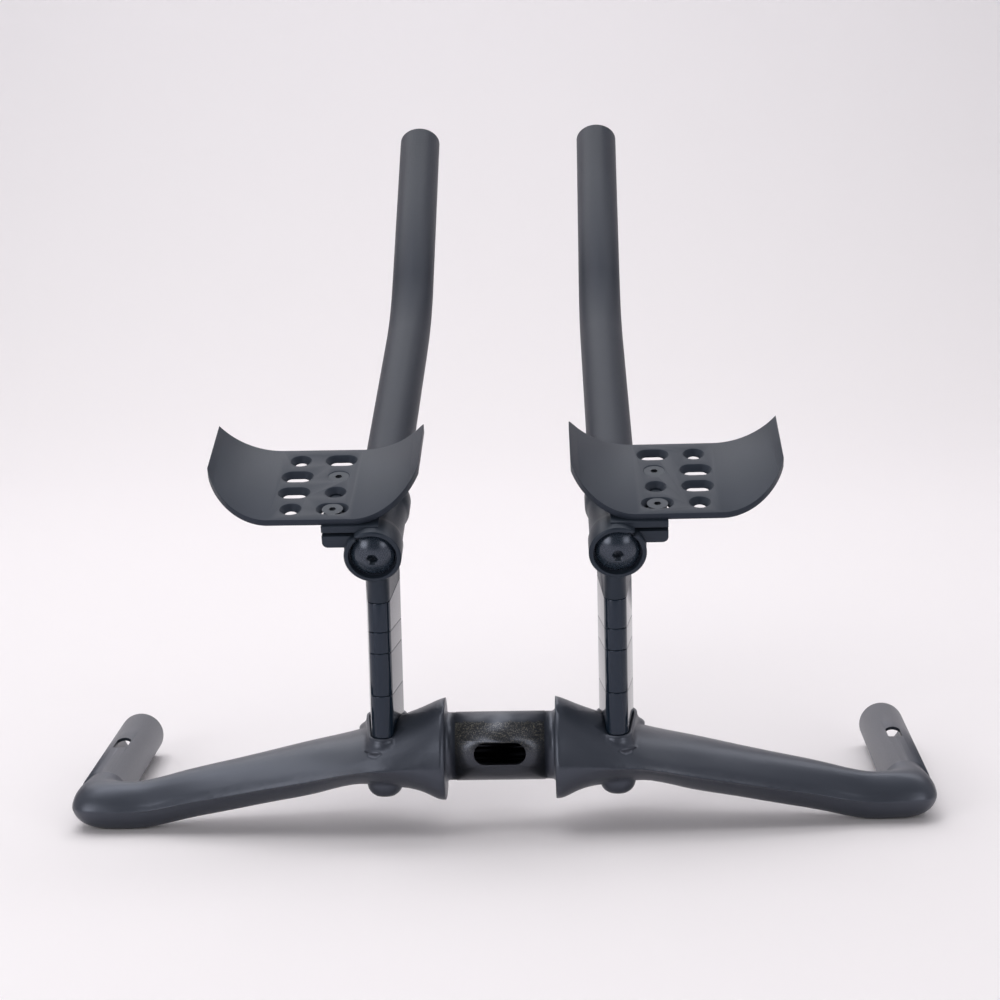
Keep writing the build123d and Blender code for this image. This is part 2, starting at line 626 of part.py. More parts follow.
# Armrest plate: curled sheet trimmed to its outline, with countersunk holes and slots
with BuildPart() as plate:
    with BuildSketch(CLAMP_FACE.offset(-PLATE_REAR)):
        with BuildLine():
            upper = PLATE_CURL_RADIUS
            lower = PLATE_CURL_RADIUS + PLATE_THICKNESS
            centre_w = PLATFORM_TOP + lower
            right_u = PLATE_CENTRE + PLATE_FLAT / 2
            left_u = PLATE_CENTRE - PLATE_FLAT / 2
            flat_bottom = Line((left_u, PLATFORM_TOP), (right_u, PLATFORM_TOP))
            right_lower = CenterArc((right_u, centre_w), lower, -90, PLATE_CURL)
            right_upper = CenterArc((right_u, centre_w), upper, -90, PLATE_CURL)
            left_lower = CenterArc((left_u, centre_w), lower, -90, -PLATE_CURL)
            left_upper = CenterArc((left_u, centre_w), upper, -90, -PLATE_CURL)
            Line(right_lower @ 1, right_upper @ 1)
            Line(left_lower @ 1, left_upper @ 1)
            Line((left_u, PLATE_TOP), (right_u, PLATE_TOP))
        make_face()
    extrude(amount=-PLATE_LENGTH)
    with BuildSketch(PLATE_PLANE) as plan:
        with BuildLine():
            front_v = PLATE_REAR + PLATE_LENGTH
            turn_v = front_v - PLATE_END_EDGE
            for side in (-1, 1):
                end_u = PLATE_CENTRE + side * PLATE_HALF_WIDTH
                rear_u = PLATE_CENTRE + side * PLATE_REAR_HALF
                Line((PLATE_CENTRE, front_v), (end_u, front_v))
                Line((end_u, front_v), (end_u, turn_v))
                SagittaArc((end_u, turn_v), (rear_u, PLATE_REAR), side * PLATE_CORNER_BULGE)
                Line((rear_u, PLATE_REAR), (PLATE_CENTRE, PLATE_REAR))
        make_face()
        fillet(plan.vertices().group_by(Axis(CLAMP_ORIGIN, TUBE_AXIS))[-1], PLATE_TIP_RADIUS)
    extrude(amount=PLATE_CURL_RADIUS, mode=Mode.INTERSECT)
    with BuildSketch(PLATE_PLANE):
        with Locations(*hole_places(ROUND_HOLES)):
            Circle(HOLE_DIAMETER / 2)
        with Locations(*hole_places(SLOT_HOLES)):
            SlotCenterToCenter(HOLE_SLOT_SPREAD, HOLE_DIAMETER)
    extrude(amount=PLATE_THICKNESS, mode=Mode.SUBTRACT)
    with BuildSketch(PLATE_PLANE.offset(PLATE_THICKNESS)):
        with Locations(*hole_places(ROUND_HOLES)):
            Circle(HOLE_SINK_DIAMETER / 2)
        with Locations(*hole_places(SLOT_HOLES)):
            SlotCenterToCenter(HOLE_SLOT_SPREAD, HOLE_SINK_DIAMETER)
    extrude(amount=-(HOLE_SINK_DIAMETER - HOLE_DIAMETER) / 2, taper=SINK_ANGLE / 2, mode=Mode.SUBTRACT)
write_pair(plate, "armrest_plate")

# Armrest screws, also the pinch screws of the clamp
for screw_name, screw_place in SCREW_PLACES.items():
    head_plane = PLATE_PLANE.offset(PLATE_THICKNESS - SCREW_HEAD_SINK)
    with BuildPart() as screw:
        with BuildSketch(head_plane):
            with Locations(screw_place):
                Circle(SCREW_HEAD_DIAMETER / 2)
        extrude(amount=-(SCREW_HEAD_DIAMETER - SCREW_DIAMETER) / 2, taper=SINK_ANGLE / 2)
        with BuildSketch(head_plane.offset(-SCREW_SOCKET_DEPTH)):
            with Locations(screw_place):
                Circle(SCREW_DIAMETER / 2)
        extrude(amount=EAR_BOTTOM + SCREW_END_GAP - PLATE_TOP + SCREW_HEAD_SINK + SCREW_SOCKET_DEPTH)
        with BuildSketch(head_plane):
            with Locations(screw_place):
                RegularPolygon(SCREW_SOCKET / 2, 6, major_radius=False)
        extrude(amount=-SCREW_SOCKET_DEPTH, mode=Mode.SUBTRACT)
    write_pair(screw, f"armrest_screw_{screw_name}")

# Extension tube: rear run, bend and front run
bend_angle = TUBE_AXIS.get_angle(FRONT_AXIS)
bend_tangent = TUBE_BEND_RADIUS * math.tan(math.radians(bend_angle / 2))
bend_corner = CLAMP_ORIGIN + TUBE_AXIS * TUBE_REAR_RUN
bend_start = bend_corner - TUBE_AXIS * bend_tangent
bend_end = bend_corner + FRONT_AXIS * bend_tangent
bend_normal = TUBE_AXIS.cross(FRONT_AXIS).normalized()
bend_centre = bend_start + bend_normal.cross(TUBE_AXIS) * TUBE_BEND_RADIUS
tube_start = CLAMP_ORIGIN + TUBE_AXIS * TUBE_RECESS
with BuildPart() as tube:
    with BuildSketch(Plane(origin=tube_start, z_dir=TUBE_AXIS)):
        Circle(TUBE_RADIUS)
        Circle(TUBE_BORE, mode=Mode.SUBTRACT)
    extrude(amount=TUBE_REAR_RUN - TUBE_RECESS - bend_tangent)
    with BuildSketch(Plane(origin=bend_start, z_dir=TUBE_AXIS)):
        Circle(TUBE_RADIUS)
        Circle(TUBE_BORE, mode=Mode.SUBTRACT)
    revolve(axis=Axis(bend_centre, bend_normal), revolution_arc=bend_angle)
    with BuildSketch(Plane(origin=bend_end, z_dir=FRONT_AXIS)):
        Circle(TUBE_RADIUS)
        Circle(TUBE_BORE, mode=Mode.SUBTRACT)
    extrude(amount=TUBE_FRONT_RUN - bend_tangent)
    chamfer(tube.faces().filter_by(GeomType.PLANE).sort_by(Axis.Y)[-1].edges(), TUBE_TIP_CHAMFER)
write_pair(tube, "extension_tube")

# Dome headed expander screw in the rear end of the tube
with BuildPart() as dome:
    with BuildSketch(CLAMP_SIDE):
        with BuildLine():
            SagittaArc((TUBE_RECESS, -DOME_DIAMETER / 2), (TUBE_RECESS, DOME_DIAMETER / 2), DOME_HEIGHT)
            Line((TUBE_RECESS, -DOME_DIAMETER / 2), (TUBE_RECESS, DOME_DIAMETER / 2))
        make_face()
        with Locations((TUBE_RECESS, 0)):
            Rectangle(DOME_SHANK_LENGTH, DOME_SHANK_DIAMETER, align=(Align.MIN, Align.CENTER))
        with Locations((TUBE_RECESS - DOME_HEIGHT, 0)):
            Rectangle(
                DOME_HEIGHT + DOME_SHANK_LENGTH,
                DOME_DIAMETER,
                align=(Align.MIN, Align.MAX),
                mode=Mode.SUBTRACT,
            )
    revolve(axis=Axis(CLAMP_ORIGIN, TUBE_AXIS))
    with BuildSketch(CLAMP_FACE.offset(DOME_HEIGHT - TUBE_RECESS)):
        RegularPolygon(DOME_SOCKET / 2, 6, major_radius=False)
    extrude(amount=-DOME_SOCKET_DEPTH, mode=Mode.SUBTRACT)
write_pair(dome, "end_dome")

# Slotted expander sleeve and the cone that spreads it
with BuildPart() as plug_sleeve:
    with BuildSketch(CLAMP_SIDE):
        with BuildLine():
            Polyline(
                (TUBE_RECESS, PLUG_HOLE),
                (TUBE_RECESS, TUBE_BORE - PLUG_CLEARANCE),
                (TUBE_RECESS + PLUG_SLEEVE_LENGTH, TUBE_BORE - PLUG_CLEARANCE),
                (TUBE_RECESS + PLUG_SLEEVE_LENGTH, mouth_radius(PLUG_SLEEVE_LENGTH)),
                (TUBE_RECESS + PLUG_MOUTH_START, mouth_radius(PLUG_MOUTH_START)),
                (TUBE_RECESS + PLUG_MOUTH_START, PLUG_HOLE),
                close=True,
            )
        make_face()
    revolve(axis=Axis(CLAMP_ORIGIN, TUBE_AXIS))
    with BuildSketch(CLAMP_FACE.offset(-TUBE_RECESS - PLUG_SLEEVE_LENGTH)):
        Rectangle(TUBE_DIAMETER, PLUG_SLOT_WIDTH)
        Rectangle(PLUG_SLOT_WIDTH, TUBE_DIAMETER)
    extrude(amount=PLUG_SLEEVE_LENGTH - PLUG_MOUTH_START + PLUG_SLOT_WIDTH, mode=Mode.SUBTRACT)
write_pair(plug_sleeve, "expander_sleeve")

with BuildPart() as plug_cone:
    with BuildSketch(CLAMP_SIDE):
        with BuildLine():
            cone_start = TUBE_RECESS + PLUG_CONE_START
            cone_end = cone_start + PLUG_CONE_LENGTH
            cone_radius = mouth_radius(PLUG_SLEEVE_LENGTH) - PLUG_CLEARANCE
            Polyline(
                (cone_start, PLUG_THREAD),
                (cone_start, mouth_radius(PLUG_CONE_START) - PLUG_CLEARANCE),
                (TUBE_RECESS + PLUG_SLEEVE_LENGTH, cone_radius),
                (cone_end, cone_radius),
                (cone_end, PLUG_THREAD),
                close=True,
            )
        make_face()
    revolve(axis=Axis(CLAMP_ORIGIN, TUBE_AXIS))
write_pair(plug_cone, "expander_cone")
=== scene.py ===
"""Dressed scene of an aero base bar with clip-on extensions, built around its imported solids."""

import logging
import math
from dataclasses import dataclass, field
from enum import Enum

import bmesh
import bpy
from mathutils import Matrix, Vector


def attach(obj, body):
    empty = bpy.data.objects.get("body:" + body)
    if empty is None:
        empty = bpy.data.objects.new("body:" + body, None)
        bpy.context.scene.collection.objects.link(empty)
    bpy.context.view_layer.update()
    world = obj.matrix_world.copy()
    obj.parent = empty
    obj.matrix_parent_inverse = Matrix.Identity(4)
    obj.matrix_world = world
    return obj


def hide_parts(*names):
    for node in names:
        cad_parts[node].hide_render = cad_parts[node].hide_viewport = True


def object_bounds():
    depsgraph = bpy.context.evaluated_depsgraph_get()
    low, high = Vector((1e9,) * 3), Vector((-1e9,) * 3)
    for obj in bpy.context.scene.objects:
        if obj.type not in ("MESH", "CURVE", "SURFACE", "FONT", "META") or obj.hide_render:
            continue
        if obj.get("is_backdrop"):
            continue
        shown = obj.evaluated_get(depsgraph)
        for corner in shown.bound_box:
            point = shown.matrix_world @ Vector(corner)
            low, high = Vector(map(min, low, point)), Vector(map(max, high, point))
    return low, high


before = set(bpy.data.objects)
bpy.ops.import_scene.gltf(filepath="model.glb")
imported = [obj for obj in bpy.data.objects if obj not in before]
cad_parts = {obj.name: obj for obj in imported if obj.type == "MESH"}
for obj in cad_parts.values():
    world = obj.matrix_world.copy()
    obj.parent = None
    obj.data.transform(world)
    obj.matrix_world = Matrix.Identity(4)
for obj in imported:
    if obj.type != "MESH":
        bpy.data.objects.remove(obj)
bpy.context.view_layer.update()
MM = 0.001
LOG = logging.getLogger("aero_bar")


class Side(Enum):
    """The two mirrored sides of the bar, as the solids name them."""

    LEFT = "left"
    RIGHT = "right"


class Place(Enum):
    """Which of a pair of fasteners, as the solids name it."""

    REAR = "rear"
    FRONT = "front"


class Slot(Enum):
    """Material slots of the record."""

    BAR = "carbon_bar"
    TUBE = "extension_tube"
    RISER = "riser_spacer"
    CLAMP = "clamp_alloy"
    PLATE = "armrest_plate"
    DOME = "end_dome"
    STEEL = "steel_fastener"
    ALLOY = "alloy_sleeve"


def linear_colour(hex_code: str) -> tuple[float, float, float, float]:
    """Turn an sRGB hex colour into linear values.

    Args:
        hex_code: colour such as "1d2126".

    Returns:
        Linear red, green, blue and an alpha of 1.
    """
    channels = [int(hex_code[start:start + 2], 16) / 255 for start in (0, 2, 4)]
    linear = [c / 12.92 if c <= 0.04045 else ((c + 0.055) / 1.055) ** 2.4 for c in channels]
    return (*linear, 1.0)


def add_node(
    tree: bpy.types.NodeTree,
    kind: str,
    settings: dict[str, object] | None = None,
    inputs: dict[str | int, object] | None = None,
) -> bpy.types.Node:
    """Add a node with its settings, socket values and links.

    Args:
        tree: node tree that receives the node.
        kind: Blender's name of the node type.
        settings: attributes set on the node.
        inputs: values, or output sockets to link from, by socket name or number.

    Returns:
        The new node.
    """
    node = tree.nodes.new(kind)
    for name, value in (settings or {}).items():
        setattr(node, name, value)
    for name, value in (inputs or {}).items():
        if isinstance(value, bpy.types.NodeSocket):
            tree.links.new(value, node.inputs[name])
        else:
            node.inputs[name].default_value = value
    return node


# The two noises that every finish has, and the range that most values of a noise lie in
MOTTLE_NOISE = {"Detail": 3.0, "Roughness": 0.55}
GRAIN_NOISE = {"Detail": 2.0, "Roughness": 0.5}
NOISE_LOW = 0.3
NOISE_HIGH = 0.7


@dataclass(frozen=True)
class Finish:
    """A surface finish: its colours, gloss and the real sizes of its grain and mottle.

    A grain in millimetres gives fine bump, a mottle in millimetres gives slow changes of colour. The grain also
    spreads the roughness.
    """

    name: str
    colour: str
    mottle_colour: str
    mottle_mm: float
    roughness: float
    roughness_spread: float
    grain_mm: float
    grain_depth_mm: float
    metallic: float = 0.0
    specular: float = 0.5
    specular_tint: str = "ffffff"

    def material(self) -> bpy.types.Material:
        """Build the procedural material, once for each finish.

        Returns:
            The material.
        """
        known = bpy.data.materials.get(self.name)
        if known:
            return known
        made = bpy.data.materials.new(self.name)
        made.use_nodes = True
        tree = made.node_tree
        tree.nodes.clear()
        place = add_node(tree, "ShaderNodeTexCoord").outputs["Object"]
        mottle = add_node(
            tree,
            "ShaderNodeTexNoise",
            inputs={"Vector": place, "Scale": 1 / (self.mottle_mm * MM), **MOTTLE_NOISE},
        )
        grain = add_node(
            tree,
            "ShaderNodeTexNoise",
            inputs={"Vector": place, "Scale": 1 / (self.grain_mm * MM), **GRAIN_NOISE},
        )
        colour = add_node(
            tree,
            "ShaderNodeMix",
            {"data_type": "RGBA"},
            {0: mottle.outputs["Fac"], 6: linear_colour(self.colour), 7: linear_colour(self.mottle_colour)},
        )
        gloss = add_node(
            tree,
            "ShaderNodeMapRange",
            inputs={
                "Value": grain.outputs["Fac"],
                "From Min": NOISE_LOW,
                "From Max": NOISE_HIGH,
                "To Min": self.roughness - self.roughness_spread,
                "To Max": self.roughness + self.roughness_spread,
            },
        )
        bump = add_node(
            tree,
            "ShaderNodeBump",
            inputs={"Height": grain.outputs["Fac"], "Strength": 1.0, "Distance": self.grain_depth_mm * MM},
        )
        shown_colour, shown_gloss = self._patch(tree, place, colour.outputs[2], gloss.outputs["Result"])
        shader = add_node(
            tree,
            "ShaderNodeBsdfPrincipled",
            inputs={
                "Base Color": shown_colour,
                "Roughness": shown_gloss,
                "Normal": bump.outputs["Normal"],
                "Metallic": self.metallic,
                "Specular IOR Level": self.specular,
                "Specular Tint": linear_colour(self.specular_tint),
            },
        )
        add_node(tree, "ShaderNodeOutputMaterial", inputs={"Surface": shader.outputs["BSDF"]})
        return made

    def _patch(
        self,
        tree: bpy.types.NodeTree,
        place: bpy.types.NodeSocket,
        colour: bpy.types.NodeSocket,
        gloss: bpy.types.NodeSocket,
    ) -> tuple[bpy.types.NodeSocket, bpy.types.NodeSocket]:
        """Change colour and gloss on part of the surface. A plain finish leaves them as they are.

        Args:
            tree: node tree of the material.
            place: object coordinates.
            colour: colour of the finish.
            gloss: roughness of the finish.

        Returns:
            The colour and the roughness to use.
        """
        return colour, gloss


@dataclass(frozen=True)
class SeatCoatedFinish(Finish):
    """A finish with a film of abrasive grip coat on a round seat along X. Sizes in millimetres.

    The speckles are drawn coarser than the real grit, which is too fine to show in the render; they thin out down
    the seat as painted shade.
    """

    film_colour: str = "17191c"
    film_roughness: float = 0.34
    film_radius: float = 16.1
    film_length: float = 41.0
    film_top: float = 13.4
    edge_wave: float = 1.6
    edge_wave_mm: float = 2.5
    speckle_colour: str = "7a776d"
    speckle_mm: float = 0.55
    # Below this height the speckles are gone: painted shade on the seat's lower side
    speckles_in_shade_below: float = -3.0
    speckle_low: float = 0.5
    speckle_high: float = 0.68

    def _patch(
        self,
        tree: bpy.types.NodeTree,
        place: bpy.types.NodeSocket,
        colour: bpy.types.NodeSocket,
        gloss: bpy.types.NodeSocket,
    ) -> tuple[bpy.types.NodeSocket, bpy.types.NodeSocket]:
        """Lay the film on the seat, with a wavy upper edge and light grit speckles near it that thin out lower
        down as painted shade.

        Args:
            tree: node tree of the material.
            place: object coordinates.
            colour: colour beside the film.
            gloss: roughness beside the film.

        Returns:
            The colour and the roughness with the film laid on.
        """
        film = self._film_mask(tree, place)
        film_colour = add_node(
            tree,
            "ShaderNodeMix",
            {"data_type": "RGBA"},
            {
                0: self._speckles_and_painted_shade(tree, place),
                6: linear_colour(self.film_colour),
                7: linear_colour(self.speckle_colour),
            },
        )
        shown = add_node(
            tree, "ShaderNodeMix", {"data_type": "RGBA"}, {0: film, 6: colour, 7: film_colour.outputs[2]}
        )
        rough = add_node(
            tree, "ShaderNodeMix", {"data_type": "FLOAT"}, {0: film, 2: gloss, 3: self.film_roughness}
        )
        return shown.outputs[2], rough.outputs[0]

    def _film_mask(self, tree: bpy.types.NodeTree, place: bpy.types.NodeSocket) -> bpy.types.NodeSocket:
        """Find where the film lies: within the seat's length and radius, and below its wavy upper edge.

        Args:
            tree: node tree of the material.
            place: object coordinates.

        Returns:
            A socket that is 1 on the film and 0 beside it.
        """
        x, _, z = add_node(tree, "ShaderNodeSeparateXYZ", inputs={0: place}).outputs
        along = add_node(tree, "ShaderNodeMath", {"operation": "ABSOLUTE"}, {0: x})
        across = add_node(tree, "ShaderNodeVectorMath", {"operation": "MULTIPLY"}, {0: place, 1: (0.0, 1.0, 1.0)})
        radius = add_node(tree, "ShaderNodeVectorMath", {"operation": "LENGTH"}, {0: across.outputs["Vector"]})
        wave = add_node(
            tree,
            "ShaderNodeTexNoise",
            inputs={"Vector": place, "Scale": 1 / (self.edge_wave_mm * MM), **GRAIN_NOISE},
        )
        lift = add_node(
            tree,
            "ShaderNodeMath",
            {"operation": "MULTIPLY_ADD"},
            {0: wave.outputs["Fac"], 1: 2 * self.edge_wave * MM, 2: -self.edge_wave * MM},
        )
        height = add_node(tree, "ShaderNodeMath", {"operation": "ADD"}, {0: z, 1: lift.outputs[0]})
        mask: bpy.types.NodeSocket | float = 1.0
        for measure, limit in (
            (along.outputs[0], self.film_length / 2),
            (radius.outputs["Value"], self.film_radius),
            (height.outputs[0], self.film_top),
        ):
            inside = add_node(tree, "ShaderNodeMath", {"operation": "LESS_THAN"}, {0: measure, 1: limit * MM})
            both = add_node(tree, "ShaderNodeMath", {"operation": "MULTIPLY"}, {0: mask, 1: inside.outputs[0]})
            mask = both.outputs[0]
        return mask

    def _speckles_and_painted_shade(self, tree: bpy.types.NodeTree, place: bpy.types.NodeSocket) -> bpy.types.NodeSocket:
        """Scatter grit speckles that grow denser towards the film's upper edge, which paints the seat's lower
        side in shade.

        Args:
            tree: node tree of the material.
            place: object coordinates.

        Returns:
            A socket with the share of the speckle colour.
        """
        z = add_node(tree, "ShaderNodeSeparateXYZ", inputs={0: place}).outputs["Z"]
        speckle = add_node(
            tree,
            "ShaderNodeTexNoise",
            inputs={"Vector": place, "Scale": 1 / (self.speckle_mm * MM), **GRAIN_NOISE},
        )
        # Painted shade: the speckles thin out from the film's upper edge towards the seat's lower side
        height = add_node(
            tree,
            "ShaderNodeMapRange",
            inputs={"Value": z, "From Min": self.speckles_in_shade_below * MM, "From Max": self.film_top * MM},
        )
        grit = add_node(
            tree,
            "ShaderNodeMapRange",
            inputs={
                "Value": speckle.outputs["Fac"],
                "From Min": self.speckle_low,
                "From Max": self.speckle_high,
            },
        )
        share = add_node(
            tree,
            "ShaderNodeMath",
            {"operation": "MULTIPLY"},
            {0: height.outputs["Result"], 1: grit.outputs["Result"]},
        )
        return share.outputs[0]


# Cool cast that the dark coats give to what they reflect
COOL = "e6ecff"
# The grains of the coats below are drawn a few times coarser than their real tooth, which is too fine to show.
# Carbon laminate under a sprayed matt clear coat: near black, a faint blue, wide satin highlights
MATT_CARBON = SeatCoatedFinish(
    name="matt_carbon_laminate",
    colour="292d35",
    mottle_colour="2e323a",
    mottle_mm=30.0,
    roughness=0.38,
    roughness_spread=0.04,
    grain_mm=0.35,
    grain_depth_mm=0.005,
    specular=0.9,
    specular_tint=COOL,
)
# Rolled carbon tube under a flatter clear coat: darker than the bar, with softer highlights
TUBE_CARBON = Finish(
    name="matt_carbon_tube",
    colour="1d222c",
    mottle_colour="222731",
    mottle_mm=30.0,
    roughness=0.46,
    roughness_spread=0.05,
    grain_mm=0.35,
    grain_depth_mm=0.006,
    specular=0.29,
    specular_tint=COOL,
)
# Moulded nylon riser blocks with a polished skin: darker than the bar, with clear side reflections
POLISHED_NYLON = Finish(
    name="polished_black_nylon",
    colour="0f1b27",
    mottle_colour="14202c",
    mottle_mm=20.0,
    roughness=0.1,
    roughness_spread=0.02,
    grain_mm=0.9,
    grain_depth_mm=0.0005,
    specular_tint=COOL,
)
# Forged aluminium, bead blasted and black anodised: even satin with a fine tooth
BLACK_ANODISED = Finish(
    name="blasted_black_anodised_aluminium",
    colour="1f262f",
    mottle_colour="242c35",
    mottle_mm=16.0,
    roughness=0.42,
    roughness_spread=0.06,
    grain_mm=0.3,
    grain_depth_mm=0.008,
    specular=0.36,
    specular_tint=COOL,
)
# Rolled aluminium sheet, blasted and black anodised: flatter and a little greyer than the forging
ANODISED_SHEET = Finish(
    name="black_anodised_sheet",
    colour="222831",
    mottle_colour="272d37",
    mottle_mm=25.0,
    roughness=0.48,
    roughness_spread=0.05,
    grain_mm=0.25,
    grain_depth_mm=0.006,
    specular=0.32,
    specular_tint=COOL,
)
# Turned and polished aluminium, hard black anodised: dark, with a clear soft spot from each lamp
POLISHED_DOME = Finish(
    name="polished_black_dome",
    colour="1d262f",
    mottle_colour="222b35",
    mottle_mm=12.0,
    roughness=0.27,
    roughness_spread=0.03,
    grain_mm=0.5,
    grain_depth_mm=0.001,
    specular=0.8,
    specular_tint=COOL,
)
# Alloy steel with a black oxide skin: dark metal with a soft sheen
BLACK_OXIDE = Finish(
    name="black_oxide_steel",
    colour="41454b",
    mottle_colour="383b41",
    mottle_mm=6.0,
    roughness=0.4,
    roughness_spread=0.06,
    grain_mm=0.2,
    grain_depth_mm=0.004,
    metallic=1.0,
)
# Turned aluminium left bare: bright grey metal
BARE_ALUMINIUM = Finish(
    name="turned_bare_aluminium",
    colour="c4c6c9",
    mottle_colour="b2b4b8",
    mottle_mm=6.0,
    roughness=0.34,
    roughness_spread=0.06,
    grain_mm=0.2,
    grain_depth_mm=0.004,
    metallic=1.0,
)
# Abrasive grip coat on the stem seat: hard grains in dark resin, each with its own glint
GRIP_GRAINS = Finish(
    name="grip_coat_grains",
    colour="24241f",
    mottle_colour="3b3a33",
    mottle_mm=1.2,
    roughness=0.3,
    roughness_spread=0.1,
    grain_mm=0.4,
    grain_depth_mm=0.01,
)


@dataclass
class SolidPiece:
    """A finished piece made from the mesh of one solid, with rounded edges and smooth faces.

    Sizes are in millimetres and degrees. An edge of 0 leaves the edges as the solid has them.
    """

    node: str
    body: str
    slot: Slot
    finish: Finish
    edge_mm: float = 0.0
    edge_angle: float = 40.0
    edge_segments: int = 2
    smooth_angle: float = 32.0
    weld_mm: float = 0.002
    sliver_mm: float = 0.001
    flat_angle: float = 0.3

    def build(self) -> None:
        """Make the piece, dress it and let it stand for its solid."""
        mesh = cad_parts[self.node].data.copy()
        mesh.name = f"{self.node}_skin"
        self._weld(mesh)
        piece = bpy.data.objects.new(f"{self.node}_skin", mesh)
        bpy.context.scene.collection.objects.link(piece)
        if self.edge_mm:
            self._round_edges(piece)
        piece.data.materials.clear()
        piece.data.materials.append(self.finish.material())
        self._shade(piece.data)
        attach(piece, self.body)
        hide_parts(self.node)
        LOG.info("dressed %s", self.node)

    def _weld(self, mesh: bpy.types.Mesh) -> None:
        """Join the loose triangles, and clear the splits inside flat faces where edges are to be rounded.

        Args:
            mesh: mesh to weld.
        """
        work = bmesh.new()
        work.from_mesh(mesh)
        bmesh.ops.remove_doubles(work, verts=work.verts[:], dist=self.weld_mm * MM)
        bmesh.ops.dissolve_degenerate(work, edges=work.edges[:], dist=self.sliver_mm * MM)
        if self.edge_mm:
            bmesh.ops.dissolve_limit(
                work, angle_limit=math.radians(self.flat_angle), verts=work.verts[:], edges=work.edges[:]
            )
        work.to_mesh(mesh)
        work.free()

    def _round_edges(self, piece: bpy.types.Object) -> None:
        """Round the sharp edges with a bevel that is applied to the mesh.

        Args:
            piece: object with a welded mesh.
        """
        bevel = piece.modifiers.new("rounded_edges", "BEVEL")
        bevel.width = self.edge_mm * MM
        bevel.segments = self.edge_segments
        bevel.limit_method = "ANGLE"
        bevel.angle_limit = math.radians(self.edge_angle)
        bevel.use_clamp_overlap = True
        shown = piece.evaluated_get(bpy.context.evaluated_depsgraph_get())
        piece.data = bpy.data.meshes.new_from_object(shown)
        piece.modifiers.clear()

    def _shade(self, mesh: bpy.types.Mesh) -> None:
        """Shade smooth, with edges steeper than the smooth angle left sharp."""
        mesh.shade_smooth()
        mesh.set_sharp_from_angle(angle=math.radians(self.smooth_angle))


